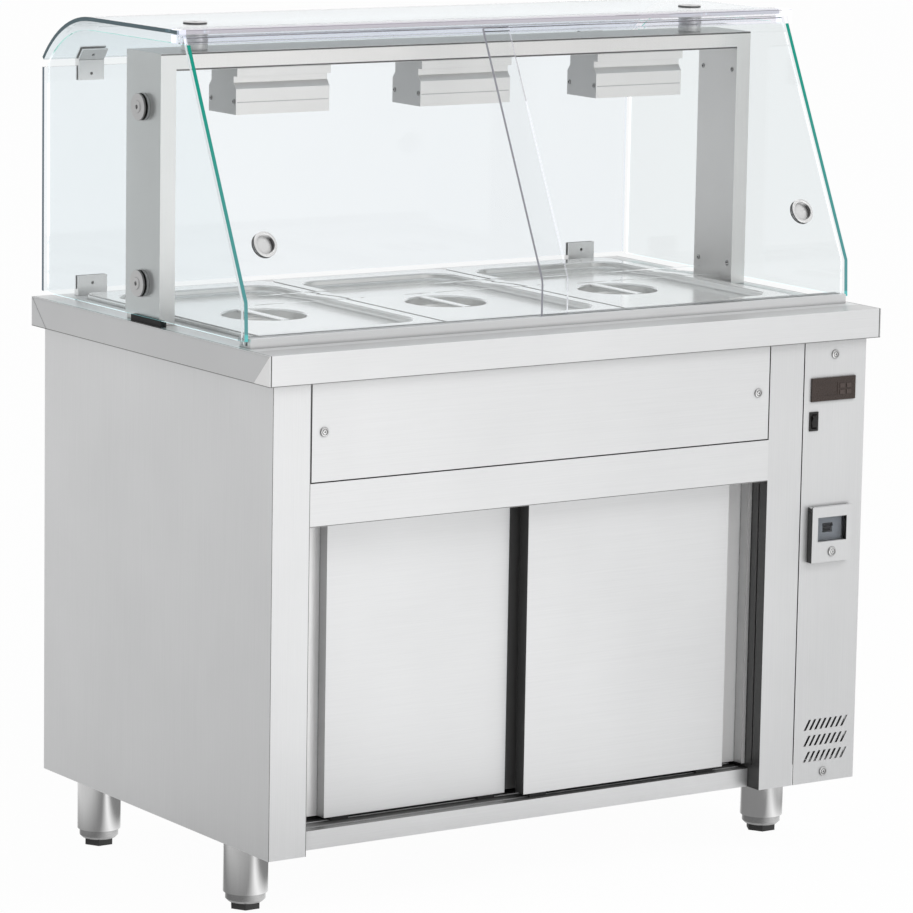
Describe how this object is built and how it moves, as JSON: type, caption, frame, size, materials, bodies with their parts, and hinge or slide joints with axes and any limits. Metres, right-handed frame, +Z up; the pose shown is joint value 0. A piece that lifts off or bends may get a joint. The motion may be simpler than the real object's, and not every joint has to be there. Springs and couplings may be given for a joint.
{
  "type": "bain marie",
  "caption": "Stainless heated servery counter with lidded pans in a wet well, a cupboard with sliding doors, a control column and a lit glass canopy with sliding panes.",
  "frame": {"origin": "on the floor under the middle of the counter", "axes": "+Z up, +X to the operator's right, -Y towards the operator, who stands at the doors"},
  "size_m": [1.1, 0.7, 1.2915],
  "materials": {
    "stainless_steel": "brushed, grain mostly level",
    "polished_steel": "polished tube",
    "bright_fittings": "satin turned",
    "heater_sheath": "dull heat-tinted sheath",
    "brass_valve": "plain cast brass",
    "lamp_aluminium": "satin anodised",
    "lamp_quartz": "frosted quartz with ceramic ends",
    "clear_glass": "clear toughened, green edges",
    "clear_plastic": "clear extruded",
    "dark_nylon": "plain nylon",
    "black_plastic": "satin black",
    "grey_plastic": "light grey moulding",
    "key_rubber": "soft keys",
    "pad_rubber": "black pad"
  },
  "bodies": {
    "cabinet": {"access_panel": "stainless_steel", "back_panel": "stainless_steel", "bottom_rail": "stainless_steel", "breaker": "grey_plastic", "cabinet_floor": "stainless_steel", "cable_gland": "black_plastic", "canopy_frame": "stainless_steel", "control_panel": "stainless_steel", "controller": "black_plastic", "counter_top": "stainless_steel", "drain_valve": "brass_valve", "glass_pads": "pad_rubber", "glass_standoffs": "bright_fittings", "header_rail": "stainless_steel", "heating_element": "heater_sheath", "lamp_end_plates": "lamp_aluminium", "lamp_housings": "lamp_aluminium", "lamp_tubes": "lamp_quartz", "left_side_glass": "clear_glass", "left_side_panel": "stainless_steel", "leg_tubes": "polished_steel", "pan_bars": "stainless_steel", "partition": "stainless_steel", "rear_glass": "clear_glass", "rear_glass_brackets": "stainless_steel", "right_side_glass": "clear_glass", "right_side_panel": "stainless_steel", "rocker_housing": "black_plastic", "screws": "bright_fittings", "sill_rail": "stainless_steel", "top_glass": "clear_glass", "top_rail": "clear_plastic", "water_tank": "stainless_steel"},
    "left_door": {"left_door": "stainless_steel", "left_door_glides": "dark_nylon"},
    "right_door": {"right_door": "stainless_steel", "right_door_glides": "dark_nylon"},
    "left_pane": {"left_pane": "clear_glass", "left_finger_cup": "bright_fittings"},
    "right_pane": {"right_pane": "clear_glass", "right_finger_cup": "bright_fittings"},
    "rocker": {"rocker": "black_plastic"},
    "breaker_toggle": {"breaker_toggle": "black_plastic"},
    "hatch": {"hatch_door": "stainless_steel", "hatch_window": "clear_plastic"},
    "drain_lever": {"drain_lever": "stainless_steel"},
    "pan_left": {"pan_left": "stainless_steel"},
    "lid_left": {"lid_left": "stainless_steel"},
    "pan_middle": {"pan_middle": "stainless_steel"},
    "lid_middle": {"lid_middle": "stainless_steel"},
    "pan_right": {"pan_right": "stainless_steel"},
    "lid_right": {"lid_right": "stainless_steel"},
    "key_set": {"key_set": "key_rubber"},
    "key_standby": {"key_standby": "key_rubber"},
    "key_down": {"key_down": "key_rubber"},
    "key_up": {"key_up": "key_rubber"},
    "foot_front_left": {"foot_front_left": "polished_steel"},
    "foot_front_right": {"foot_front_right": "polished_steel"},
    "foot_rear_left": {"foot_rear_left": "polished_steel"},
    "foot_rear_right": {"foot_rear_right": "polished_steel"}
  },
  "joints": [
    {"name": "left_door_slide", "type": "slide", "parent": "cabinet", "child": "left_door", "axis": [1, 0, 0], "range_m": [0, 0.37]},
    {"name": "right_door_slide", "type": "slide", "parent": "cabinet", "child": "right_door", "axis": [-1, 0, 0], "range_m": [0, 0.37]},
    {"name": "left_pane_slide", "type": "slide", "parent": "cabinet", "child": "left_pane", "axis": [1, 0, 0], "range_m": [0, 0.5]},
    {"name": "right_pane_slide", "type": "slide", "parent": "cabinet", "child": "right_pane", "axis": [-1, 0, 0], "range_m": [0, 0.5]},
    {"name": "rocker_tip", "type": "hinge", "parent": "cabinet", "child": "rocker", "pos_m": [0.4365, -0.3315, 0.6802], "axis": [-1, 0, 0], "range_deg": [0, 16]},
    {"name": "breaker_tip", "type": "hinge", "parent": "cabinet", "child": "breaker_toggle", "pos_m": [0.47, -0.3245, 0.512], "axis": [1, 0, 0], "range_deg": [0, 50]},
    {"name": "hatch_swing", "type": "hinge", "parent": "cabinet", "child": "hatch", "pos_m": [0.47, -0.3393, 0.54325], "axis": [-1, 0, 0], "range_deg": [0, 90]},
    {"name": "drain_turn", "type": "hinge", "parent": "cabinet", "child": "drain_lever", "pos_m": [-0.33, 0.1137, 0.59], "axis": [0, 1, 0], "range_deg": [0, 90]},
    {"name": "pan_left_lift", "type": "slide", "parent": "cabinet", "child": "pan_left", "axis": [0, 0, 1], "range_m": [0, 0.04]},
    {"name": "lid_left_lift", "type": "slide", "parent": "pan_left", "child": "lid_left", "axis": [0, 0, 1], "range_m": [0, 0.045]},
    {"name": "pan_middle_lift", "type": "slide", "parent": "cabinet", "child": "pan_middle", "axis": [0, 0, 1], "range_m": [0, 0.04]},
    {"name": "lid_middle_lift", "type": "slide", "parent": "pan_middle", "child": "lid_middle", "axis": [0, 0, 1], "range_m": [0, 0.045]},
    {"name": "pan_right_lift", "type": "slide", "parent": "cabinet", "child": "pan_right", "axis": [0, 0, 1], "range_m": [0, 0.04]},
    {"name": "lid_right_lift", "type": "slide", "parent": "pan_right", "child": "lid_right", "axis": [0, 0, 1], "range_m": [0, 0.045]},
    {"name": "key_set_press", "type": "slide", "parent": "cabinet", "child": "key_set", "axis": [0, 1, 0], "range_m": [0, 0.001], "stiffness_N_per_m": 400, "springref_m": -0.0005},
    {"name": "key_standby_press", "type": "slide", "parent": "cabinet", "child": "key_standby", "axis": [0, 1, 0], "range_m": [0, 0.001], "stiffness_N_per_m": 400, "springref_m": -0.0005},
    {"name": "key_down_press", "type": "slide", "parent": "cabinet", "child": "key_down", "axis": [0, 1, 0], "range_m": [0, 0.001], "stiffness_N_per_m": 400, "springref_m": -0.0005},
    {"name": "key_up_press", "type": "slide", "parent": "cabinet", "child": "key_up", "axis": [0, 1, 0], "range_m": [0, 0.001], "stiffness_N_per_m": 400, "springref_m": -0.0005},
    {"name": "foot_front_left_screw", "type": "slide", "parent": "cabinet", "child": "foot_front_left", "axis": [0, 0, -1], "range_m": [0, 0.03]},
    {"name": "foot_front_right_screw", "type": "slide", "parent": "cabinet", "child": "foot_front_right", "axis": [0, 0, -1], "range_m": [0, 0.03]},
    {"name": "foot_rear_left_screw", "type": "slide", "parent": "cabinet", "child": "foot_rear_left", "axis": [0, 0, -1], "range_m": [0, 0.03]},
    {"name": "foot_rear_right_screw", "type": "slide", "parent": "cabinet", "child": "foot_rear_right", "axis": [0, 0, -1], "range_m": [0, 0.03]}
  ]
}
